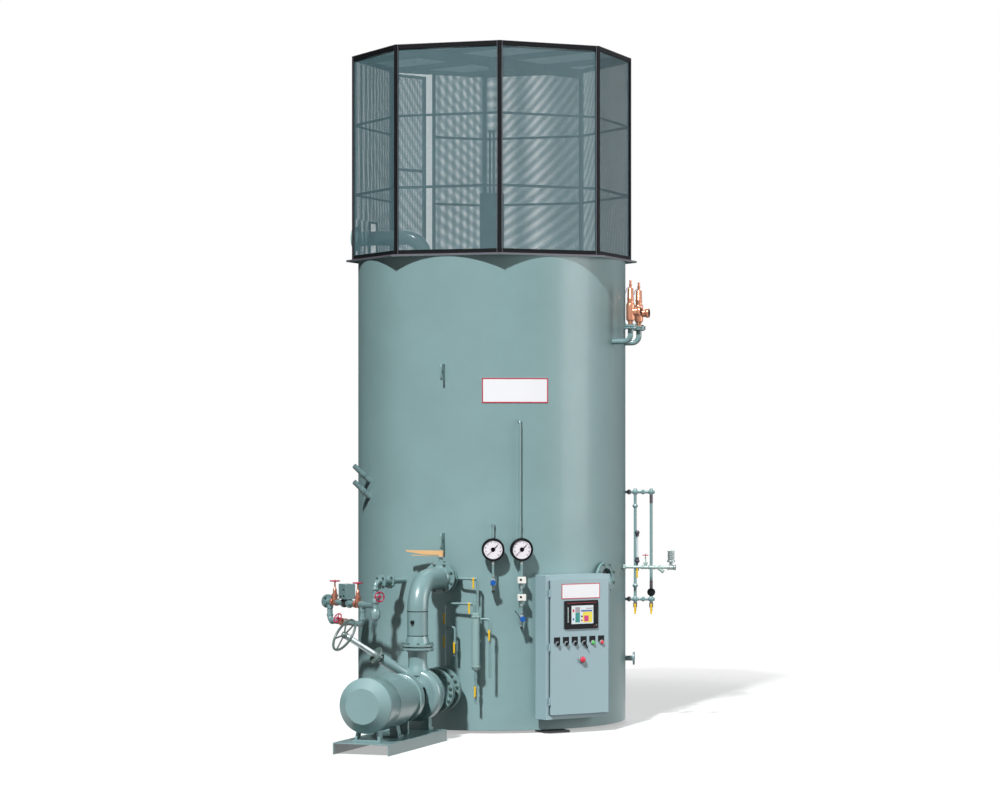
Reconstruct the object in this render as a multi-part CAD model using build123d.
from build123d import *
import math
import os

# Electrode steam boiler: a tall jacketed vessel with a mesh cage on top, a circulation
# pump at its foot, valve trains, gauges and a control cabinet. Millimetres, +Z up.
# The origin is on the vessel's axis at floor level. +X is to the right as one faces the
# front, +Y is away from the front. An azimuth is counted from the front, positive right.

# Vessel. Every radius of a piece that stands on the shell is the shell's radius plus
# how far that piece stands off it.
vessel_radius = 1500
vessel_wall = 15
vessel_bottom_z = 32
bottom_plate_z = 60
bottom_plate_thick = 20
deck_z = 5170
deck_thick = 20
deck_vertex_radius = vessel_radius + 134
octagon_turn = 3.2

# Base ring and feet
foot_thick = 25
foot_width = 300
foot_inner_radius = vessel_radius - 170
foot_outer_radius = vessel_radius + 72
foot_azimuth = 27
foot_count = 4
anchor_circle_radius = vessel_radius + 37
anchor_hole = 26
skirt_radius = vessel_radius - 100
skirt_wall = 20

# Cage
cage_height = 2285
post_size = 40
post_circle_radius = vessel_radius + 51
rail_height = 50
rail_depth = 30
mesh_thick = 3
mesh_pitch = 190
mesh_bar = 30
roof_mesh_pitch = 258
stiffener_height = 26
stiffener_thick = 6
stiffener_levels = (0.32, 0.66)
main_beam_height = 110
main_beam_width = 45
purlin_height = 60
purlin_width = 30
purlin_offset = 0.6 * vessel_radius
eye_height = 40
door_width = 470
door_gap = 12
door_open = 18
door_frame = 30
hinge_pin_radius = 7

# Piping: outside diameters and the usual flange sizes that go with them
pipe_8in = 219.1
pipe_6in = 168.3
pipe_2in = 60.3
pipe_1in = 33.4
pipe_small = 26.7
flange_8in = dict(od=343, thick=29, pcd=298.5, count=8, hole=22.2)
flange_6in = dict(od=279, thick=25, pcd=241.3, count=8, hole=22.2)
flange_2in = dict(od=152, thick=19, pcd=120.7, count=4, hole=19)
flange_12in = dict(od=483, thick=32, pcd=432, count=20, hole=25.4)
pipe_12in = 323.9
gasket = 3
running_gap = 0.3

# How far a pipe's end starts inside the shell's surface before the shell is cut out of it
nozzle_root = 60

# Pump set, in the radial plane at the pump azimuth
pump_azimuth = -19.3
pump_axis_z = 486
volute_rho = vessel_radius + 845
base_near = volute_rho - 68
base_far = volute_rho + 1610
base_width = 605
base_height = 120
base_wall = 12
motor_radius = 282
motor_near = volute_rho + 785
motor_far = motor_near + 691
motor_face = motor_far + 94
motor_face_radius = 180
motor_foot_inset = 90
motor_pad = (150, 300, 20)
motor_leg = (90, 24)
motor_leg_spread = 90
motor_leg_splay = 12
bell_neck = (235, 230)
bell_ring = (255, 100)
bell_cone = (230, 150)
bell_window = (250, 190)
shaft_radius = 45
bell_foot = (40, 200)
volute_radius = 280
volute_thick = 210
volute_round = 60
volute_foot = (90, 280)
suction_pairs = (vessel_radius + 188.5, vessel_radius + 391.5)

# Control cabinet
cabinet_azimuth = 33
cabinet_face_rho = vessel_radius + 240
cabinet_width = 840
cabinet_depth = 225
cabinet_bottom_z = 162
cabinet_top_z = 1708
cabinet_wall = 3
cabinet_door_thick = 24
cabinet_door_margin = (50, 40, 45, 50)


def place(azimuth, rho=0, z=0):
    """A frame on the radial line: its X points outwards, its Z up."""
    return Rot(0, 0, azimuth - 90) * Pos(rho, 0, z)


def rod(p, q, radius):
    """A round bar from point p to point q."""
    line = Line(p, q)
    return sweep(Plane(origin=line @ 0, z_dir=line % 0) * Circle(radius), path=line)


def tube_run(points, diameter, bend):
    """A pipe along points, with bends of one radius at its corners."""
    path = FilletPolyline(*points, radius=bend) if len(points) > 2 else Line(*points)
    return sweep(Plane(origin=path @ 0, z_dir=path % 0) * Circle(diameter / 2), path=path)


def along_x(start, length, radius):
    """A cylinder on the local X axis from start, running outwards."""
    return Pos(start + length / 2, 0, 0) * Rot(0, 90, 0) * Cylinder(radius, length)


def flange_x(start, size, bore=0):
    """A drilled flange on the local X axis, its near face at start."""
    disc = along_x(start, size["thick"], size["od"] / 2)
    for k in range(size["count"]):
        turn = 360 * (k + 0.5) / size["count"]
        hole = Rot(turn, 0, 0) * Pos(0, 0, size["pcd"] / 2)
        disc -= hole * along_x(start - 1, size["thick"] + 2, size["hole"] / 2)
    if bore:
        disc -= along_x(start - 1, size["thick"] + 2, bore / 2)
    return disc


def flange_z(bottom, size, bore=0):
    """The same flange lying flat, its lower face at bottom."""
    return Pos(0, 0, bottom) * Rot(0, -90, 0) * flange_x(0, size, bore)


def handwheel(radius, rim, hub_radius, hub_length, spokes):
    """A handwheel about local Z with its hub's seat at z = 0."""
    wheel = Pos(0, 0, hub_length / 2) * Torus(radius - rim, rim)
    wheel += Pos(0, 0, hub_length / 2) * Cylinder(hub_radius, hub_length)
    for k in range(spokes):
        arm = Pos((radius - rim) / 2, 0, hub_length / 2) * Box(radius - rim, rim, rim)
        wheel += Rot(0, 0, 360 * k / spokes) * arm
    return wheel


def post_point(index):
    """Plan position of a cage post, counted from the front one towards the right."""
    a = math.radians(octagon_turn + 45 * index - 90)
    return post_circle_radius * math.cos(a), post_circle_radius * math.sin(a)


def panel_frame(index):
    """A frame in the middle of a cage side: X out of the cage, Y along the side."""
    apothem = post_circle_radius * math.cos(math.radians(22.5))
    return place(octagon_turn + 45 * index + 22.5, apothem)


side_length = 2 * post_circle_radius * math.sin(math.radians(22.5))
clear_side = side_length - post_size
cage_top_z = deck_z + cage_height


def vessel_room():
    """All the room inside the shell's outer surface, from below the floor to over the deck."""
    return Cylinder(vessel_radius, 3 * deck_z)


def build_vessel():
    height = deck_z - deck_thick - vessel_bottom_z
    outer = Pos(0, 0, vessel_bottom_z + height / 2) * Cylinder(vessel_radius, height)
    inner = Pos(0, 0, vessel_bottom_z + height / 2) * Cylinder(vessel_radius - vessel_wall, height + 2)
    return outer - inner


def build_bottom():
    centre = bottom_plate_z + bottom_plate_thick / 2
    return Pos(0, 0, centre) * Cylinder(vessel_radius - vessel_wall, bottom_plate_thick)


def build_base():
    height = bottom_plate_z - foot_thick
    ring = Pos(0, 0, foot_thick + height / 2) * (
        Cylinder(skirt_radius, height) - Cylinder(skirt_radius - skirt_wall, height + 2))
    depth = foot_outer_radius - foot_inner_radius
    for k in range(foot_count):
        spot = place(foot_azimuth + 360 * k / foot_count, 0, foot_thick / 2)
        foot = Pos(foot_inner_radius + depth / 2, 0, 0) * Box(depth, foot_width, foot_thick)
        foot -= Pos(anchor_circle_radius, 0, 0) * Cylinder(anchor_hole / 2, foot_thick + 2)
        ring += spot * foot
    return ring


def build_deck():
    return Pos(0, 0, deck_z - deck_thick) * octagon(deck_vertex_radius, deck_thick)


def build_posts():
    posts = []
    for k in range(8):
        x, y = post_point(k)
        spot = Pos(x, y, deck_z + cage_height / 2) * Rot(0, 0, octagon_turn + 45 * k)
        posts.append(spot * Box(post_size, post_size, cage_height))
    return Compound(posts)


def between_posts(piece):
    """What is left of a cage piece once the posts it meets are taken out of it."""
    return piece - build_posts()


def side_bar(index, z, depth, height, offset=0):
    bar = panel_frame(index) * Pos(offset, 0, z) * Box(depth, clear_side, height)
    return between_posts(bar)


def build_rails():
    z = cage_top_z - rail_height / 2
    rails = [side_bar(k, z, rail_depth, rail_height) for k in range(8)]
    z = deck_z + rail_height / 2
    for k in range(8):
        bar = side_bar(k, z, rail_depth, rail_height)
        if k == outlet_side:
            bar -= panel_frame(k) * Pos(0, 0, z) * Box(rail_depth + 2, cutout_width, rail_height + 2)
        elif k == door_side:
            gap = Box(rail_depth + 2, door_span + 2 * jamb_width, rail_height + 2)
            bar -= panel_frame(k) * Pos(0, door_centre, z) * gap
        rails += bar.solids()
    return Compound(rails)


outlet_side = 5
door_side = 4
cutout_width = 200
cutout_height = 445
door_span = door_width + 2 * door_gap
door_centre = clear_side / 2 - door_span / 2
jamb_width = 30
jamb_y = door_centre - door_span / 2 - jamb_width / 2


def build_stiffeners():
    bars = []
    for k in range(8):
        for level in stiffener_levels:
            z = deck_z + level * cage_height
            inset = -(mesh_thick + stiffener_thick) / 2
            bar = side_bar(k, z, stiffener_thick, stiffener_height, inset)
            if k == door_side:
                cut = Box(stiffener_thick + 2, door_span + jamb_width + 1, stiffener_height + 2)
                bar -= panel_frame(k) * Pos(inset, door_centre - jamb_width / 2 - 0.5, z) * cut
            bars += bar.solids()
    return Compound(bars)


def mesh_sheet(width, height):
    """An upright sheet, X its thickness, with a plain grid of openings in place of the wire."""
    across, up = round(width / mesh_pitch), round(height / mesh_pitch)
    step, rise = width / across, height / up
    sheet = Rectangle(width, height)
    sheet -= GridLocations(step, rise, across, up) * Rectangle(step - mesh_bar, rise - mesh_bar)
    return Pos(-mesh_thick / 2, 0, 0) * Rot(0, 90, 0) * Rot(0, 0, 90) * extrude(sheet, mesh_thick)


def build_side_mesh():
    sheets = []
    height = cage_height - 2 * rail_height
    for k in range(8):
        sheet = Pos(0, 0, deck_z + rail_height + height / 2) * mesh_sheet(clear_side, height)
        if k == outlet_side:
            sheet -= Pos(0, 0, deck_z + cutout_height / 2) * Box(
                mesh_thick + 2, cutout_width + 2 * frame_bar, cutout_height + 2 * frame_bar)
        if k == door_side:
            sheet -= Pos(0, door_centre - jamb_width / 2, deck_z + cage_height / 2) * Box(
                mesh_thick + 2, door_span + jamb_width, cage_height)
        sheets += between_posts(panel_frame(k) * sheet).solids()
    return Compound(sheets)


frame_bar = 20


def build_openings_frame():
    """The jamb beside the door and the frame round the steam pipe's cutout."""
    height = cage_height - rail_height
    jamb = panel_frame(door_side) * Pos(0, jamb_y, deck_z + height / 2) * Box(
        rail_depth, jamb_width, height)
    low = deck_z + rail_height
    high = deck_z + cutout_height + frame_bar
    arch = Pos(0, 0, (low + high) / 2) * Box(frame_bar, cutout_width + 2 * frame_bar, high - low)
    hole = Pos(0, 0, deck_z + cutout_height / 2) * Box(frame_bar + 2, cutout_width, cutout_height)
    return Compound([jamb, panel_frame(outlet_side) * (arch - hole)])


def octagon(vertex_radius, height):
    """An upright prism with the cage's plan, standing on z = 0."""
    return extrude(Rot(0, 0, octagon_turn - 90) * RegularPolygon(vertex_radius, 8), height)


def build_roof_beams():
    """The deep main beam on a diameter and the thinner purlins across it."""
    long = 2 * post_circle_radius
    top = cage_top_z
    main = Pos(0, 0, top - main_beam_height / 2) * Box(long, main_beam_width, main_beam_height)
    main += Pos(0, 0, top - main_beam_height - eye_height / 2) * Box(2 * eye_height, 30, eye_height)
    bars = [main]
    for shift in (0, purlin_offset, -purlin_offset):
        purlin = Pos(shift, 0, top - purlin_height / 2) * Box(purlin_width, long, purlin_height)
        bars += (purlin - Box(long, main_beam_width, 3 * top)).solids()
    inner = post_circle_radius - rail_depth / 2 / math.cos(math.radians(22.5))
    room = Pos(0, 0, deck_z) * octagon(inner, cage_height)
    turned = [Rot(0, 0, octagon_turn - 45 - 90) * bar & room for bar in bars]
    return Compound([between_posts(bar) for bar in turned])


def build_roof_mesh():
    """One sheet over the whole roof, resting on the top rails and the beams, open as a grid."""
    rim = octagon(post_circle_radius, mesh_thick) - octagon(post_circle_radius - rail_height, mesh_thick)
    across = round(2 * post_circle_radius / roof_mesh_pitch)
    wires = Rectangle(2 * post_circle_radius, 2 * post_circle_radius)
    side = roof_mesh_pitch - mesh_bar
    wires -= GridLocations(roof_mesh_pitch, roof_mesh_pitch, across, across) * Rectangle(side, side)
    wires = Rot(0, 0, octagon_turn) * extrude(wires, mesh_thick)
    return Pos(0, 0, cage_top_z) * (rim + (wires & octagon(post_circle_radius, mesh_thick)))


hinge_out = rail_depth / 2 + hinge_pin_radius + 2


def door_hinge_frame():
    """The cage door's hinge axis: X out of the cage, the closed leaf along its -Y."""
    return panel_frame(door_side) * Pos(hinge_out, clear_side / 2, 0)


def build_cage_door():
    height = cage_height - rail_height - 2 * door_gap
    frame = Box(door_frame, door_width, height) - Box(
        door_frame + 2, door_width - 2 * door_frame, height - 2 * door_frame)
    frame += Box(door_frame, door_width, door_frame)
    frame = Pos(-hinge_out, -door_gap - door_width / 2, 0) * frame
    frame += Pos(-4, door_frame / 2 - door_gap - door_width, 0) * Box(30, 24, 120)
    for level in (-0.38, 0, 0.38):
        barrel = Pos(0, 0, level * height) * Cylinder(hinge_pin_radius, 90)
        barrel += Pos(-hinge_out / 2, -door_gap - 9, level * height) * Box(hinge_out, 18, 80)
        barrel += Pos(0, -door_gap / 2 - 2, level * height) * Box(6, door_gap + 12, 80)
        frame += barrel
    middle = deck_z + door_gap + height / 2
    return door_hinge_frame() * Pos(0, 0, middle) * Rot(0, 0, door_open) * frame


def build_cage_door_mesh():
    height = cage_height - rail_height - 2 * door_gap
    sheets = []
    tall = height / 2 - 1.5 * door_frame
    for side in (-1, 1):
        z = side * (tall / 2 + door_frame / 2)
        sheets.append(Pos(-hinge_out, -door_gap - door_width / 2, z) * mesh_sheet(
            door_width - 2 * door_frame, tall))
    middle = deck_z + door_gap + height / 2
    return door_hinge_frame() * Pos(0, 0, middle) * Rot(0, 0, door_open) * Compound(sheets)


# Steam outlet inside the cage
outlet_rho = 810
outlet_z = 5450
outlet_bend = 229
outlet_face = vessel_radius + 155
outlet_azimuth = octagon_turn + 45 * outlet_side + 22.5


def build_steam_outlet():
    path = [(outlet_rho, 0, deck_z), (outlet_rho, 0, outlet_z), (outlet_face - 2, 0, outlet_z)]
    wire = FilletPolyline(*path, radius=outlet_bend)
    ring = Plane(origin=wire @ 0, z_dir=wire % 0) * (Circle(pipe_6in / 2) - Circle(pipe_6in / 2 - 7.1))
    pipe = sweep(ring, path=wire)
    pipe += Pos(0, 0, outlet_z) * flange_x(outlet_face - flange_6in["thick"], flange_6in, pipe_6in - 14.2)
    return place(outlet_azimuth) * pipe


# The electrode actuator at the centre of the deck
actuator_box = (270, 230, 750)
actuator_rod_top = 6635


def build_actuator():
    w, d, h = actuator_box
    box = Pos(0, 0, deck_z + h / 2) * Box(w, d, h)
    for z in (h - 60, h - 90, h - 120, 190, 160, 130):
        slot = Pos(-w / 2, 0, deck_z + z) * Box(16, d * 0.7, 12)
        box -= slot
    low = deck_z + h
    for x in (-18, 18):
        box += Pos(x, 0, (low + actuator_rod_top) / 2) * Cylinder(14, actuator_rod_top - low)
    return box + Pos(0, 0, actuator_rod_top - 15) * Box(80, 60, 30)


def build_deck_fittings():
    """A lifting ring and a short capped stub on the deck."""
    ring = Pos(-414, -600, deck_z) * Rot(90, 0, 0) * (Cylinder(88, 20) - Pos(0, 40, 0) * Cylinder(27, 22))
    ring -= Pos(-414, -600, deck_z - 100) * Box(220, 60, 200)
    stub = Pos(-247, -600, deck_z + 35) * Cylinder(36, 70)
    return Compound([ring, stub])


# Small things on the shell
stub_azimuth = -64
stub_z = (2727, 2551)
stub_tilt = 42
lug_azimuth = -20
lug_z = (3893, 2070)
nameplate_azimuth = 10
nameplate_span = 27.9
nameplate_z = 3693
nameplate_height = 269
nameplate_thick = 4
big_nozzle_azimuth = 54
big_nozzle_z = 1655
big_nozzle_standoff = 26
big_nozzle_bore = 203
drain_azimuth = 85
drain_z = 715
drain_length = 85
pipe_2in_wall = 3.9


def build_angled_stubs():
    stubs = []
    for z in stub_z:
        body = Pos(70, 0, 0) * along_x(0, 150, 28) + along_x(-30, 110, 28) + along_x(60, 50, 34)
        body -= along_x(40, 200, 21)
        piece = place(stub_azimuth, vessel_radius + 20, z) * Rot(0, -stub_tilt, 0) * body
        stubs.append(piece - vessel_room())
    return Compound(stubs)


def build_lifting_lugs():
    lugs = []
    for z in lug_z:
        plate = Pos(50, 0, 0) * Box(100, 20, 180)
        plate = fillet(plate.edges().filter_by(Axis.Y).sort_by(Axis.X)[-2:], 40)
        plate -= Pos(58, 0, 0) * Rot(90, 0, 0) * Cylinder(20, 22)
        lugs.append(place(lug_azimuth, vessel_radius, z) * plate)
    return Compound(lugs)


def curved_plate(azimuth, span, z, height, thick):
    """A thin plate that lies on the round jacket."""
    ring = Cylinder(vessel_radius + thick, height) - Cylinder(vessel_radius, height + 2)
    width = 2 * vessel_radius * math.sin(math.radians(span / 2))
    keep = place(azimuth, vessel_radius) * Box(600, width, height + 4)
    return Pos(0, 0, z) * (ring & keep)


def build_nameplate():
    return curved_plate(
        nameplate_azimuth, nameplate_span, nameplate_z, nameplate_height, nameplate_thick)


def build_shell_nozzles():
    return Compound([build_big_nozzle(), build_drain_nozzle()])


def build_big_nozzle():
    """The bolted nozzle above the cabinet, open, with a deep bore."""
    neck = along_x(-20, big_nozzle_standoff + 49, pipe_8in / 2 + 12)
    neck -= along_x(-nozzle_root, 200, big_nozzle_bore / 2)
    ring = flange_x(big_nozzle_standoff, flange_8in, big_nozzle_bore)
    pad = place(big_nozzle_azimuth, vessel_radius, big_nozzle_z) * (neck + ring)
    pad -= vessel_room()
    return pad


def build_drain_nozzle():
    bore = pipe_2in / 2 - pipe_2in_wall
    pipe = along_x(0, drain_length, pipe_2in / 2) - along_x(-1, 2 * drain_length, bore)
    pipe += flange_x(drain_length, flange_2in, 2 * bore)
    pipe = place(drain_azimuth, vessel_radius, drain_z) * pipe
    return pipe - vessel_room()


# Pump set
def build_pump_base():
    length = base_far - base_near
    channel = Box(length, base_width, base_height)
    channel -= Pos(0, 0, -base_wall) * Box(length + 2, base_width - 2 * base_wall, base_height)
    return place(pump_azimuth, base_near + length / 2, base_height / 2) * channel


def build_motor():
    """The motor's drum on two pads, each with a pair of upright legs."""
    body = along_x(motor_near, motor_far - motor_near, motor_radius)
    length, width, pad_height = motor_pad
    leg_long, leg_thick = motor_leg
    leg_top = pump_axis_z - base_height
    for x in (motor_near + motor_foot_inset, motor_far - motor_foot_inset):
        body += Pos(x, 0, pad_height / 2 - leg_top) * Box(length, width, pad_height)
        for side in (-1, 1):
            leg = Rot(side * motor_leg_splay, 0, 0) * Box(leg_long, leg_thick, leg_top)
            body += Pos(x, side * motor_leg_spread, -leg_top / 2) * leg
    return place(pump_azimuth, 0, pump_axis_z) * body


def build_motor_cover():
    cone = Cone(motor_radius - 6, motor_face_radius, motor_face - motor_far)
    return place(pump_azimuth, (motor_far + motor_face) / 2, pump_axis_z) * Rot(0, 90, 0) * cone


def build_bell():
    """The bell between motor and pump: a neck, a ring and a cone with an open window on each
    side that shows the shaft, on one foot."""
    neck_radius, neck_length = bell_neck
    ring_radius, ring_length = bell_ring
    wide, narrow = bell_cone
    window_long, window_high = bell_window
    ring_start = motor_near - neck_length - ring_length
    cone_start = volute_rho + volute_thick / 2
    cone_length = ring_start - cone_start
    middle = cone_start + cone_length / 2
    body = Pos(middle, 0, 0) * Rot(0, 90, 0) * Cone(narrow, wide, cone_length)
    body += along_x(ring_start, ring_length, ring_radius)
    body += along_x(ring_start + ring_length, neck_length, neck_radius)
    body -= Pos(middle, 0, 0) * Box(window_long, 2 * motor_radius, window_high)
    body += along_x(cone_start, cone_length, shaft_radius)
    foot_height = pump_axis_z - base_height
    foot_long, foot_wide = bell_foot
    body += Pos(ring_start + ring_length - foot_long / 2, 0, -foot_height / 2) * Box(
        foot_long, foot_wide, foot_height)
    return place(pump_azimuth, 0, pump_axis_z) * body


def build_volute():
    body = along_x(volute_rho - volute_thick / 2, volute_thick, volute_radius)
    body = fillet(body.edges(), volute_round)
    inlet_end = suction_pairs[1] + flange_12in["thick"] + gasket / 2
    body += along_x(inlet_end, volute_rho - inlet_end, pipe_12in / 2)
    foot_height = pump_axis_z - base_height
    body += Pos(volute_rho, 0, -foot_height / 2) * Box(*volute_foot, foot_height)
    return place(pump_azimuth, 0, pump_axis_z) * body


def build_pump_nozzles():
    return Compound([build_suction(), build_discharge_nozzle()])


def build_suction():
    """Suction nozzle of the vessel and the two bolted flange pairs beside the pump."""
    start = vessel_radius - nozzle_root
    pipe = along_x(start, suction_pairs[1] - start, pipe_12in / 2)
    for joint in suction_pairs:
        pipe += flange_x(joint - gasket / 2 - flange_12in["thick"], flange_12in)
        pipe += flange_x(joint + gasket / 2 - gasket, flange_12in)
    return place(pump_azimuth, 0, pump_axis_z) * pipe - vessel_room()


# Discharge: stop valve on the pump, spool, elbow and throttling valve into the vessel
valve_z = 620
valve_top_z = 960
valve_radius = 100
spool_flange_z = 985
riser_bend = 305
discharge_z = 1683
butterfly_thick = 60
butterfly_rho = vessel_radius + 140
butterfly_top = 225
lever_reach = 400
lever_low = 20
lever_high = 64
lever_tip = 12
lever_wide = 34
lever_hub = 26
lever_latch = (6, 14)
branch_azimuth = -60
branch_rise = 30.9
branch_length = 1032
branch_neck = (40, 190, 92, 66)
branch_bonnet = (170, 505, 54)
branch_yoke = (505, 577, 33)
branch_disc = (571, 583, 95)
branch_rod = 30
branch_stem = 16
wheel_radius = 190
wheel_rim = 13
wheel_hub = (36, 40)


def branch_frame():
    """The stop valve's stem: its Z runs along the stem, out and up."""
    root = place(pump_azimuth, volute_rho, valve_z) * Rot(0, 0, branch_azimuth - pump_azimuth)
    return root * Rot(0, 90 - branch_rise, 0)


def build_stop_valve():
    low = pump_axis_z + volute_radius - 40
    body = Pos(0, 0, (low + valve_top_z) / 2) * Cylinder(valve_radius, valve_top_z - low)
    body = place(pump_azimuth, volute_rho) * body
    near, far, wide, narrow = branch_neck
    body += branch_frame() * Pos(0, 0, (near + far) / 2) * Cone(wide, narrow, far - near)
    body += place(pump_azimuth, volute_rho) * flange_z(
        spool_flange_z - gasket / 2 - flange_8in["thick"], flange_8in)
    for low, high, radius in (branch_bonnet, branch_yoke, branch_disc):
        body += branch_frame() * Pos(0, 0, (low + high) / 2) * Cylinder(radius, high - low)
    rod_end = branch_length - wheel_hub[1] - 2
    low = branch_disc[0]
    body += branch_frame() * Pos(0, 0, (low + rod_end) / 2) * Cylinder(branch_rod, rod_end - low)
    body += branch_frame() * Pos(0, 0, (low + branch_length) / 2) * Cylinder(
        branch_stem, branch_length - low)
    volute = along_x(volute_rho - volute_thick / 2, volute_thick, volute_radius)
    body -= place(pump_azimuth, 0, pump_axis_z) * fillet(volute.edges(), volute_round)
    return body - build_bell()


def build_stop_wheel():
    wheel = handwheel(wheel_radius, wheel_rim, *wheel_hub, 5)
    wheel -= Cylinder(branch_stem + 1, 200)
    return branch_frame() * Pos(0, 0, branch_length - wheel_hub[1] - 2) * wheel


def build_discharge():
    start = spool_flange_z + gasket / 2
    end = butterfly_rho + butterfly_thick / 2
    points = [(volute_rho, 0, start), (volute_rho, 0, discharge_z), (end + 1, 0, discharge_z)]
    pipe = tube_run(points, pipe_8in, riser_bend)
    pipe += Pos(volute_rho, 0, 0) * flange_z(start - gasket, flange_8in)
    pipe += Pos(0, 0, discharge_z) * flange_x(end, flange_8in)
    pipe += Pos(volute_rho + pipe_8in / 2, 0, 1250) * Rot(0, 90, 0) * Cylinder(18, 50)
    return place(pump_azimuth) * pipe


def build_discharge_nozzle():
    start = butterfly_rho - butterfly_thick / 2 - flange_8in["thick"]
    pipe = along_x(vessel_radius - nozzle_root, start + 1 - vessel_radius + nozzle_root, pipe_8in / 2)
    pipe += flange_x(start, flange_8in)
    return place(pump_azimuth, 0, discharge_z) * pipe - vessel_room()


def build_butterfly():
    body = along_x(butterfly_rho - butterfly_thick / 2, butterfly_thick, 135)
    body += Pos(butterfly_rho, 0, (90 + butterfly_top) / 2) * Cylinder(22, butterfly_top - 90)
    body += Pos(butterfly_rho, 0, butterfly_top - 7) * Cylinder(40, 14)
    return place(pump_azimuth, 0, discharge_z) * body


def build_butterfly_lever():
    """A hand lever to the left: a hub, a wedge with a level top and a latch bar under it."""
    wedge = make_face(Polyline((-lever_hub, lever_low), (-lever_hub, lever_high), (lever_reach, lever_high),
                               (lever_reach, lever_high - lever_tip), (lever_reach / 2, lever_low), close=True))
    bar = Rot(90, 0, 0) * Pos(0, 0, -lever_wide / 2) * extrude(wedge, lever_wide)
    bar += Pos(0, 0, lever_low / 2) * Cylinder(lever_hub, lever_low)
    low, high = lever_latch
    bar += Pos(0.42 * lever_reach, 0, (low + high) / 2) * Box(0.84 * lever_reach, lever_wide / 2, high - low)
    spot = place(pump_azimuth, butterfly_rho, discharge_z + butterfly_top + running_gap)
    return spot * Rot(0, 0, -90) * bar


# Control cabinet with its hinged door
cabinet_front = cabinet_face_rho - cabinet_door_thick - 5
cabinet_height = cabinet_top_z - cabinet_bottom_z
door_left, door_right, door_top, door_bottom = cabinet_door_margin
cabinet_door_width = cabinet_width - door_left - door_right
cabinet_door_height = cabinet_height - door_top - door_bottom
cabinet_door_y = (door_left - door_right) / 2
cabinet_door_z = cabinet_bottom_z + door_bottom + cabinet_door_height / 2
cabinet_lip = 60


def cabinet(rho=0, y=0, z=0):
    """A frame on the cabinet's own radial line, with Y along its front."""
    return place(cabinet_azimuth) * Pos(rho, y, z)


def build_cabinet_body():
    depth = cabinet_front - (cabinet_face_rho - cabinet_depth)
    middle = cabinet((cabinet_front + cabinet_face_rho - cabinet_depth) / 2, 0,
                     cabinet_bottom_z + cabinet_height / 2)
    body = Box(depth, cabinet_width, cabinet_height)
    body -= Box(depth - 2 * cabinet_wall, cabinet_width - 2 * cabinet_wall,
                cabinet_height - 2 * cabinet_wall)
    mouth = Box(40, cabinet_door_width - 2 * cabinet_lip, cabinet_door_height - 2 * cabinet_lip)
    body -= Pos(depth / 2, cabinet_door_y, cabinet_door_z - cabinet_bottom_z - cabinet_height / 2) * mouth
    body = middle * body
    back = cabinet_face_rho - cabinet_depth
    for y in (-300, 300):
        for z in (cabinet_bottom_z + 200, cabinet_top_z - 200):
            body += cabinet(back - 40, y, z) * Box(80, 60, 60)
    for pin in hinge_pins():
        body += pin
    return body - vessel_room()


cabinet_hinge_radius = 8
cabinet_pin_radius = 4
cabinet_hinge_y = cabinet_door_y - cabinet_door_width / 2 - cabinet_hinge_radius - 3
cabinet_hinge_rho = cabinet_face_rho - cabinet_hinge_radius
cabinet_hinge_levels = (-0.4, 0, 0.4)
barrel_length = 60


def hinge_spot(level):
    z = cabinet_door_z + level * cabinet_door_height
    return cabinet(cabinet_hinge_rho, cabinet_hinge_y, z)


def hinge_pins():
    """Pins on the cabinet's front, each with a bracket over and under the door's barrel."""
    pins = []
    gap = barrel_length / 2 + running_gap
    reach = cabinet_hinge_rho - cabinet_front
    for level in cabinet_hinge_levels:
        pin = Cylinder(cabinet_pin_radius, barrel_length + 20)
        for side in (-1, 1):
            pin += Pos(-reach / 2, 0, side * (gap + 5)) * Box(reach, 8, 10)
            pin += Pos(0, 0, side * (gap + 5)) * Cylinder(cabinet_hinge_radius, 10)
        pins.append(hinge_spot(level) * pin)
    return pins


def build_cabinet_door():
    leaf = Box(cabinet_door_thick, cabinet_door_width, cabinet_door_height)
    leaf = fillet(leaf.edges().filter_by(Axis.X), 8)
    leaf -= Pos(-3, 0, 0) * Box(cabinet_door_thick, cabinet_door_width - 8, cabinet_door_height - 8)
    leaf = cabinet(cabinet_face_rho - cabinet_door_thick / 2, cabinet_door_y, cabinet_door_z) * leaf
    for level in cabinet_hinge_levels:
        barrel = Cylinder(cabinet_hinge_radius, barrel_length)
        barrel += Pos(0, 6, 0) * Box(6, 12, barrel_length)
        barrel -= Cylinder(cabinet_pin_radius + running_gap, barrel_length + 2)
        leaf += hinge_spot(level) * barrel
    return leaf


hmi_size = (435, 305)
hmi_y = 18
hmi_z = 1280
hmi_thick = 14
screen_size = (286, 198)
switch_pitch = 115
switch_first_y = -293
switch_z = 987
switch_plate = (78, 116)
estop_y = 28
estop_z = 795
door_plate = (500, 164)
door_plate_y = 16
door_plate_z = 1533


def build_hmi():
    bezel = Box(hmi_thick, *hmi_size)
    bezel = fillet(bezel.edges().filter_by(Axis.X), 12)
    bezel -= Pos(hmi_thick / 2, 12, 0) * Box(6, *screen_size)
    return cabinet(cabinet_face_rho + hmi_thick / 2, hmi_y, hmi_z) * bezel


def build_door_controls():
    parts = [cabinet(cabinet_face_rho + 1.5, door_plate_y, door_plate_z) * Box(3, *door_plate)]
    for k in range(6):
        plate = Pos(1.5, 0, 0) * Box(3, *switch_plate)
        plate += Pos(0, 0, -14) * along_x(3, 12, 20)
        plate += Pos(0, 0, -14) * along_x(15, 10, 15)
        parts.append(cabinet(cabinet_face_rho, switch_first_y + k * switch_pitch, switch_z) * plate)
    stop = along_x(0, 14, 36) + along_x(14, 10, 22) + along_x(24, 14, 40)
    parts.append(cabinet(cabinet_face_rho, estop_y, estop_z) * stop)
    return Compound(parts)


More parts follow.
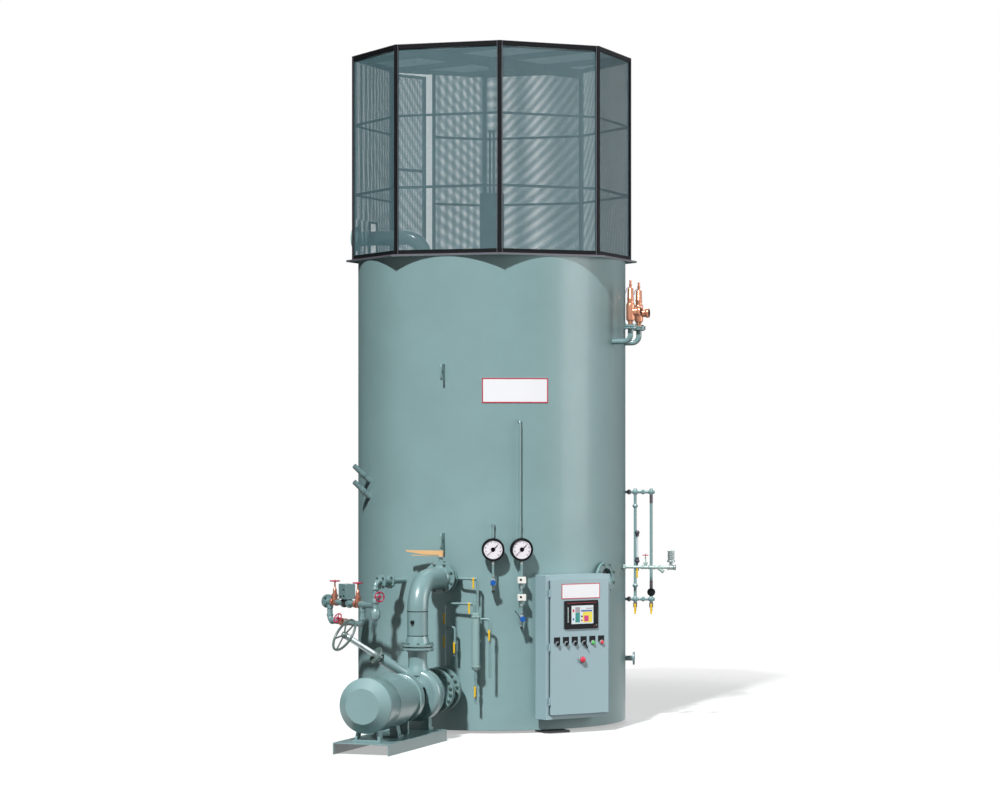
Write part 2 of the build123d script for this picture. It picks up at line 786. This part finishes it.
# Gauges
gauge_azimuths = (0.6, 11.5)
gauge_z = 1985
gauge_radius = 124
gauge_thick = 60
gauge_rho = 1590
impulse_rho = 1528
impulse_top_z = (2246, 3364)
impulse_foot_z = (1518, 1175)
gauge_valve_z = (1633, 1241)
pressure_switch_z = (1658, 1472)


def build_gauge_cases():
    cases = []
    for azimuth in gauge_azimuths:
        case = along_x(0, gauge_thick, gauge_radius)
        case -= along_x(gauge_thick - 8, 20, gauge_radius - 12)
        case += Pos(30, 0, -gauge_radius - 12) * Cylinder(14, 40)
        cases.append(place(azimuth, gauge_rho, gauge_z) * case)
    return Compound(cases)


def build_gauge_dials():
    dials = []
    for azimuth in gauge_azimuths:
        dials.append(place(azimuth, gauge_rho, gauge_z) * along_x(
            gauge_thick - 8, 2, gauge_radius - 12))
    return Compound(dials)


def build_gauge_piping():
    """Impulse pipes: out of the shell, down behind each gauge and up to it from below."""
    front = gauge_rho + 30
    pipes = []
    for azimuth, top, foot in zip(gauge_azimuths, impulse_top_z, impulse_foot_z):
        points = [(vessel_radius - 40, 0, top), (impulse_rho + 6, 0, top), (impulse_rho + 6, 0, foot),
                  (front, 0, foot), (front, 0, gauge_z - gauge_radius - 32)]
        pipe = tube_run(points, pipe_small, 26)
        pipe += Pos(0, 0, top) * along_x(vessel_radius - 5, 24, 22)
        pipe += Pos(impulse_rho + 6, 0, 2246) * Cylinder(18, 30)
        pipes.append(place(azimuth) * pipe - vessel_room())
    return Compound(pipes)


def build_gauge_valves():
    front = gauge_rho + 30
    valves = []
    for azimuth, z in zip(gauge_azimuths, gauge_valve_z):
        body = Cylinder(24, 80) - Cylinder(pipe_small / 2, 90)
        body += Pos(38, 0, 0) * along_x(-16, 30, 12) + Pos(0, 0, 0) * along_x(52, 14, 30)
        valves.append(place(azimuth, front, z) * (body - Cylinder(pipe_small / 2, 90)))
    return Compound(valves)


def build_pressure_switches():
    front = gauge_rho + 30
    switches = []
    for z in pressure_switch_z:
        body = Box(60, 86, 68) - Cylinder(pipe_small / 2, 90)
        switches.append(place(gauge_azimuths[1], front, z) * body)
    return Compound(switches)


# Feedwater train, seen at the left
feed_azimuth = -39
feed_z = 1633
feed_main_z = 1375
feed_bypass_z = 1165
feed_turn = -60
feed_elbow_rho = 1981
feed_check_rho = (1745, 1884)
feed_tee = 300
feed_valve_right = 412
feed_control = 670
feed_valve_left = 960
feed_end = 1080
feed_wheel_z = 1607
feed_wheel_radius = 59
feed_bypass_valve = 745
bypass_wheel_azimuth = -45
bypass_wheel_rise = 28
bypass_wheel_reach = 105
feed_stop_z = 1479
feed_stop_azimuth = 25
feed_stop_reach = 120


def feed_line(s=0, side=0, z=0):
    """A frame on the feed train: X along the train, away from the vessel's feed elbow."""
    return place(feed_azimuth, feed_elbow_rho) * Rot(0, 0, -feed_azimuth + 90 + 120) * Pos(s, side, z)


def build_feed_piping():
    radial = place(feed_azimuth, 0, feed_z)
    leg = place(feed_azimuth, feed_elbow_rho)
    pipe = place(feed_azimuth) * tube_run(
        [(vessel_radius - nozzle_root, 0, feed_z), (feed_elbow_rho, 0, feed_z), (feed_elbow_rho, 0, 1290)],
        pipe_2in, 58)
    pipe += leg * Pos(0, 0, 1275) * Cylinder(44, 50)
    for start in feed_check_rho:
        pipe += radial * flange_x(start, flange_2in)
    pipe += radial * along_x(feed_check_rho[0], 150, 50)
    pipe += feed_line(0, 0, feed_main_z) * along_x(0, feed_end + 60, pipe_2in / 2)
    loop = tube_run(
        [(feed_tee, 0, feed_main_z), (feed_tee, 0, feed_bypass_z),
         (feed_end, 0, feed_bypass_z), (feed_end, 0, feed_main_z)], pipe_2in, 58)
    pipe += feed_line() * loop
    pipe += feed_line(feed_end + 41, 0, feed_main_z) * flange_x(0, flange_2in)
    for s in (feed_tee, feed_end):
        pipe += feed_line(s, 0, feed_main_z) * along_x(-42, 84, 38)
    return pipe - vessel_room()


def gate_valve(stem_top):
    """A bronze gate valve about a level pipe along X, its stem upwards."""
    body = Rot(0, 90, 0) * Cylinder(42, 110)
    body += Pos(0, 0, 45) * Cylinder(30, 60)
    body += Pos(0, 0, 85) * Cylinder(36, 24)
    body += Pos(0, 0, (97 + stem_top) / 2) * Cylinder(9, stem_top - 97)
    return body - Rot(0, 90, 0) * Cylinder(pipe_2in / 2, 300)


def bypass_stem():
    return feed_line(feed_bypass_valve, 0, feed_bypass_z)


def bypass_frame():
    """The bypass valve's stem: its Z runs out towards the handwheel."""
    spot = bypass_stem()
    return Pos(*spot.position) * Rot(0, 0, bypass_wheel_azimuth - 90) * Rot(0, 90 - bypass_wheel_rise, 0)


def stop_frame():
    spot = place(feed_azimuth, feed_elbow_rho, feed_stop_z)
    return Pos(*spot.position) * Rot(0, 0, feed_stop_azimuth - 90) * Rot(0, 90, 0)


def build_feed_valves():
    top = feed_wheel_z - feed_main_z + 8
    valves = []
    for s in (feed_valve_right, feed_valve_left):
        valves.append(feed_line(s, 0, feed_main_z) * gate_valve(top))
    bore = feed_line(feed_bypass_valve, 0, feed_bypass_z) * Rot(0, 90, 0) * Cylinder(pipe_2in / 2, 300)
    shell = feed_line(feed_bypass_valve, 0, feed_bypass_z) * Rot(0, 90, 0) * Cylinder(42, 110)
    shell += bypass_frame() * Pos(0, 0, 45) * Cylinder(28, 50)
    stem = Cylinder(9, bypass_wheel_reach - 62)
    shell += bypass_frame() * Pos(0, 0, (70 + bypass_wheel_reach + 8) / 2) * stem
    valves.append(shell - bore)
    leg = place(feed_azimuth, feed_elbow_rho, feed_stop_z)
    stop = leg * Cylinder(42, 100)
    stop += stop_frame() * Pos(0, 0, 45) * Cylinder(28, 50)
    stop += stop_frame() * Pos(0, 0, (70 + feed_stop_reach + 8) / 2) * Cylinder(9, feed_stop_reach - 62)
    valves.append(stop - leg * Cylinder(pipe_2in / 2, 300))
    return Compound(valves)


def build_feed_control():
    body = Rot(0, 90, 0) * Cylinder(48, 150)
    body += Pos(0, 0, 45) * Cylinder(36, 50)
    body = body - Rot(0, 90, 0) * Cylinder(pipe_2in / 2, 300)
    block = Pos(0, 0, 128) * Box(165, 120, 165)
    block = fillet(block.edges().filter_by(Axis.Z), 12)
    return feed_line(feed_control, 0, feed_main_z) * (body + block)


def small_wheel(radius):
    wheel = handwheel(radius, 7, 17, 22, 4)
    return wheel - Cylinder(9.6, 100)


def build_feed_wheel(s):
    return feed_line(s, 0, feed_wheel_z - 12) * small_wheel(feed_wheel_radius)


def build_bypass_wheel():
    return bypass_frame() * Pos(0, 0, bypass_wheel_reach - 14) * small_wheel(feed_wheel_radius)


def build_feed_stop_wheel():
    return stop_frame() * Pos(0, 0, feed_stop_reach - 14) * small_wheel(feed_wheel_radius)


# Water columns at the right
column_azimuth = 85
column_rho = (1611, 1790)
column_top_z = 2574
column_bottom_z = 1376
drain_valve_radius = 20
glass_y = -45
glass_rho = 1636
glass_z = (1838, 2086)
glass_drain_z = 1722
glass_drain_foot = 1650
glass_drain_radius = 18


def column_frame(rho=0, y=0, z=0):
    return place(column_azimuth) * Pos(rho, y, z)


def build_column_piping():
    pipe = None
    for z in (column_top_z, column_bottom_z):
        run = along_x(vessel_radius - 40, column_rho[1] + 40 - vessel_radius + 40, pipe_1in / 2)
        for rho in column_rho:
            run += along_x(rho - 34, 68, 25)
            run += Pos(rho, 0, 0) * Cylinder(25, 68)
        for rho in (vessel_radius + 42, (column_rho[0] + column_rho[1]) / 2):
            run += along_x(rho - 16, 32, 28)
        run = column_frame(0, 0, z) * run
        pipe = run if pipe is None else pipe + run
    height = column_top_z - column_bottom_z
    for rho in column_rho:
        pipe += column_frame(rho, 0, (column_top_z + column_bottom_z) / 2) * Cylinder(
            pipe_1in / 2, height)
        pipe += column_frame(rho, 0, column_bottom_z - 62) * Cylinder(drain_valve_radius, 60)
        pipe += column_frame(rho, 0, column_bottom_z - 110) * Cylinder(13, 50)
    for z in (2418, 1526):
        pipe += column_frame(column_rho[0], 0, z) * Cylinder(29, 34)
    return pipe - vessel_room()


def build_level_float():
    ball = column_frame(column_rho[1], 0, column_bottom_z + 78) * (
        Sphere(46) - Cylinder(pipe_1in / 2, 200))
    return ball


def build_gauge_glass():
    low, high = glass_z
    return column_frame(glass_rho, glass_y, (low + high) / 2) * Cylinder(10, high - low)


def build_glass_cocks():
    cocks = []
    for z, tall in ((glass_z[1], 1), (glass_z[0], -1)):
        body = Pos(glass_rho, glass_y, z + 20 * tall) * Cylinder(20, 56)
        body += Pos(glass_rho, glass_y, z + 34 * tall) * Sphere(27)
        link = rod((glass_rho, glass_y, z + 34 * tall), (column_rho[0], 0, z + 34 * tall), 12)
        body += link
        if tall < 0:
            low, high = glass_drain_foot, z - 34
            body += Pos(glass_rho, glass_y, (low + high) / 2) * Cylinder(9, high - low)
            body += Pos(glass_rho, glass_y, glass_drain_z) * Cylinder(glass_drain_radius, 56)
        body -= Pos(column_rho[0], 0, z) * Cylinder(pipe_1in / 2, 300)
        body -= Pos(glass_rho, glass_y, sum(glass_z) / 2) * Cylinder(10.2, glass_z[1] - glass_z[0] + 1)
        cocks.append(column_frame() * body)
    return Compound(cocks)


# Level line in front of the columns
line_azimuth = 76
line_z = 1745
line_valve_rho = 1759
line_strainer_rho = 1890
line_control_rho = 2047
line_end_rho = 2098
line_wheel_z = 1878
line_wheel_radius = 34


def build_level_line():
    frame = place(line_azimuth, 0, line_z)
    pipe = along_x(vessel_radius - nozzle_root, line_control_rho - vessel_radius + nozzle_root, pipe_1in / 2)
    pipe += along_x(vessel_radius - 5, 40, 30)
    pipe += along_x(line_valve_rho - 45, 90, 26)
    pipe += Pos(line_valve_rho, 0, 34) * Cylinder(20, 40)
    pipe += Pos(line_valve_rho, 0, 80) * Cylinder(7, 60)
    pipe += Pos(line_valve_rho, 0, 128) * Cylinder(4.5, 50)
    pipe += along_x(line_strainer_rho - 40, 80, 26)
    pipe += Pos(line_strainer_rho, 0, 0) * Rot(0, 125, 0) * Pos(0, 0, 45) * Cylinder(20, 90)
    pipe += along_x(line_control_rho - 40, line_end_rho - line_control_rho + 40, 30)
    pipe += Pos(line_control_rho, 0, 40) * Cylinder(18, 50)
    pipe += Pos(line_control_rho, 0, 68) * Cylinder(44, 24)
    pipe += Pos(line_control_rho, 0, 135) * Cylinder(39, 110)
    return frame * pipe - vessel_room()


def build_level_wheel():
    wheel = handwheel(line_wheel_radius, 5, 11, 14, 4) - Cylinder(5, 60)
    return place(line_azimuth, line_valve_rho, line_wheel_z - 7) * wheel


# Safety valves at the upper right
safety_azimuths = (63, 80)
safety_rhos = (1712, 1664)
safety_pipe_z = 4240
safety_flange_z = 4403
safety_outlet_z = 4570
safety_body_z = 4481
safety_bonnet_z = 4659
safety_cap_z = 4824
safety_top_z = 4914
safety_outlet_azimuth = 75
safety_outlet_reach = 118


def build_safety_piping():
    runs = []
    for azimuth, rho in zip(safety_azimuths, safety_rhos):
        low = safety_flange_z - gasket / 2 - flange_2in["thick"]
        run = tube_run([(vessel_radius - nozzle_root, 0, safety_pipe_z), (rho, 0, safety_pipe_z),
                        (rho, 0, low + 1)], pipe_2in, 76)
        run += Pos(rho, 0, 0) * flange_z(low, flange_2in)
        runs.append(place(azimuth) * run - vessel_room())
    return Compound(runs)


def build_safety_valves():
    valves = []
    for azimuth, rho in zip(safety_azimuths, safety_rhos):
        low = safety_flange_z - gasket / 2
        base = safety_flange_z + gasket / 2 + flange_2in["thick"]
        valve = flange_z(low, flange_2in)
        for low_z, high_z, radius in ((base - 5, safety_body_z, 26), (safety_body_z, safety_bonnet_z, 48),
                                      (safety_bonnet_z, safety_cap_z, 35), (safety_cap_z, safety_top_z, 16)):
            valve += Pos(0, 0, (low_z + high_z) / 2) * Cylinder(radius, high_z - low_z)
        outlet = along_x(0, safety_outlet_reach, 53) - along_x(safety_outlet_reach - 70, 90, 44)
        valve += Pos(0, 0, safety_outlet_z) * Rot(0, 0, safety_outlet_azimuth - azimuth) * outlet
        valves.append(place(azimuth, rho) * valve)
    return Compound(valves)


# Sampling pipework at the foot of the shell, left of the gauges
sample_azimuth = -16
sample_rho = 1620
cooler_y = 290
cooler_radius = 45
cooler_z = (691, 1307)
sample_top_z = 1673
sample_start_y = 90
sample_second_z = 1405
sample_drop_y = -55
sample_drop_foot = 735
sample_right_y = 448
sample_right_z = (1243, 616)
sample_foot_z = 336
sample_branch_y = 57
sample_branch_z = (1152, 841)


def sample(rho=0, y=0, z=0):
    return place(sample_azimuth) * Pos(rho, y, z)


def build_sample_piping():
    wall = vessel_radius - nozzle_root
    bend = 30
    rho = sample_rho
    inlet_y = cooler_y + 20
    return_y = cooler_y - 18
    branch_y = sample_branch_y
    top = tube_run([(wall, sample_start_y, sample_top_z), (rho, sample_start_y, sample_top_z),
                    (rho, inlet_y, sample_top_z), (rho, inlet_y, cooler_z[1])], pipe_small, bend)
    second = tube_run([(rho, sample_drop_y, sample_drop_foot), (rho, sample_drop_y, sample_second_z),
                       (rho, return_y, sample_second_z), (rho, return_y, cooler_z[1])],
                      pipe_small, bend)
    tap_y = sample_drop_y + 12
    second += tube_run([(wall, tap_y, sample_second_z), (rho, tap_y, sample_second_z)],
                       pipe_small, bend)
    branch_top, branch_foot = sample_branch_z
    second += tube_run([(rho, sample_drop_y, branch_top), (rho, branch_y, branch_top),
                        (rho, branch_y, branch_foot)], pipe_small, bend)
    right = tube_run([(sample_rho, cooler_y + cooler_radius - 1, sample_right_z[0]),
                      (sample_rho, sample_right_y, sample_right_z[0]),
                      (sample_rho, sample_right_y, sample_right_z[1])], pipe_small, bend)
    foot = tube_run([(sample_rho, cooler_y, cooler_z[0]), (sample_rho, cooler_y, sample_foot_z)],
                    pipe_small, bend)
    foot += Pos(sample_rho, cooler_y, 616) * Cylinder(18, 40)
    parts = []
    for run, spots in zip((top, second, right, foot), sample_valve_spots):
        for y, z, level in spots:
            run += Pos(sample_rho, y, z) * Rot(90 if level else 0, 0, 0) * Cylinder(19, 60)
            run += Pos(sample_rho + 18, y, z) * along_x(0, 14, 7)
        height = cooler_z[1] - cooler_z[0]
        run -= Pos(rho, cooler_y, sum(cooler_z) / 2) * Cylinder(cooler_radius, height)
        parts.append(sample() * run - vessel_room())
    return Compound(parts)


# Each pipe's ball valves: place along the front, height, and whether the pipe is level there
sample_valve_spots = (
    ((cooler_y - 18, sample_top_z, True),),
    ((sample_drop_y, 1290, False), (sample_drop_y, 1040, False),
     (sample_branch_y, 980, False), (225, sample_second_z, True)),
    ((sample_right_y, 1120, False),),
    ((cooler_y, 510, False),),
)


def build_sample_cooler():
    height = cooler_z[1] - cooler_z[0]
    body = Pos(0, 0, sum(cooler_z) / 2) * Cylinder(cooler_radius, height)
    body += Pos(0, 0, cooler_z[1] - 40) * Cylinder(cooler_radius + 9, 14)
    body += Pos(0, 0, cooler_z[0] + 40) * Cylinder(cooler_radius + 9, 14)
    bracket = Pos(-75, 0, 1000) * Box(150, 40, 30)
    body += bracket
    body = sample(sample_rho, cooler_y) * body
    return body - vessel_room()


# Yellow levers of the ball valves
lever_length = 105
lever_width = 20
lever_thick = 6


def lever():
    """A lever on a valve stem along X, hanging straight down."""
    bar = Pos(0, 0, -lever_length / 2) * Box(lever_thick, lever_width, lever_length)
    return bar + along_x(-lever_thick / 2, lever_thick, 13)


def build_ball_levers():
    parts = []
    reach = sample_rho + 18 + 14 + lever_thick / 2
    for spots in sample_valve_spots:
        for y, z, _ in spots:
            parts.append(sample(reach, y, z) * lever())
    front = drain_valve_radius + lever_thick / 2
    for rho in column_rho:
        spot = column_frame(rho, -front, column_bottom_z - 62)
        parts.append(spot * Rot(0, 0, -90) * lever())
    front = glass_drain_radius + lever_thick / 2
    parts.append(column_frame(glass_rho, glass_y - front, glass_drain_z) * Rot(0, 0, -90) * lever())
    return Compound(parts)


PIECES = {
    "vessel_shell": build_vessel,
    "vessel_bottom": build_bottom,
    "base_ring": build_base,
    "deck_plate": build_deck,
    "cage_posts": build_posts,
    "cage_rails": build_rails,
    "cage_stiffeners": build_stiffeners,
    "cage_side_mesh": build_side_mesh,
    "cage_opening_frames": build_openings_frame,
    "cage_roof_beams": build_roof_beams,
    "cage_roof_mesh": build_roof_mesh,
    "cage_door": build_cage_door,
    "cage_door_mesh": build_cage_door_mesh,
    "steam_outlet": build_steam_outlet,
    "electrode_actuator": build_actuator,
    "deck_fittings": build_deck_fittings,
    "angled_stubs": build_angled_stubs,
    "lifting_lugs": build_lifting_lugs,
    "vessel_nameplate": build_nameplate,
    "shell_nozzles": build_shell_nozzles,
    "pump_base": build_pump_base,
    "motor": build_motor,
    "motor_cover": build_motor_cover,
    "bell_housing": build_bell,
    "pump_volute": build_volute,
    "pump_nozzles": build_pump_nozzles,
    "stop_valve": build_stop_valve,
    "stop_valve_wheel": build_stop_wheel,
    "discharge_pipe": build_discharge,
    "butterfly_valve": build_butterfly,
    "butterfly_lever": build_butterfly_lever,
    "cabinet_body": build_cabinet_body,
    "cabinet_door": build_cabinet_door,
    "operator_panel": build_hmi,
    "door_controls": build_door_controls,
    "gauge_cases": build_gauge_cases,
    "gauge_dials": build_gauge_dials,
    "gauge_piping": build_gauge_piping,
    "gauge_valves": build_gauge_valves,
    "pressure_switches": build_pressure_switches,
    "feed_piping": build_feed_piping,
    "feed_valves": build_feed_valves,
    "feed_control_valve": build_feed_control,
    "feed_wheel_right": lambda: build_feed_wheel(feed_valve_right),
    "feed_wheel_left": lambda: build_feed_wheel(feed_valve_left),
    "bypass_wheel": build_bypass_wheel,
    "feed_stop_wheel": build_feed_stop_wheel,
    "column_piping": build_column_piping,
    "level_float": build_level_float,
    "gauge_glass": build_gauge_glass,
    "gauge_glass_cocks": build_glass_cocks,
    "level_line": build_level_line,
    "level_line_wheel": build_level_wheel,
    "safety_valve_pipes": build_safety_piping,
    "safety_valves": build_safety_valves,
    "sample_piping": build_sample_piping,
    "sample_cooler": build_sample_cooler,
    "ball_valve_levers": build_ball_levers,
}

os.makedirs("parts", exist_ok=True)
for name, build in PIECES.items():
    piece = build()
    export_step(piece, f"parts/{name}.step")
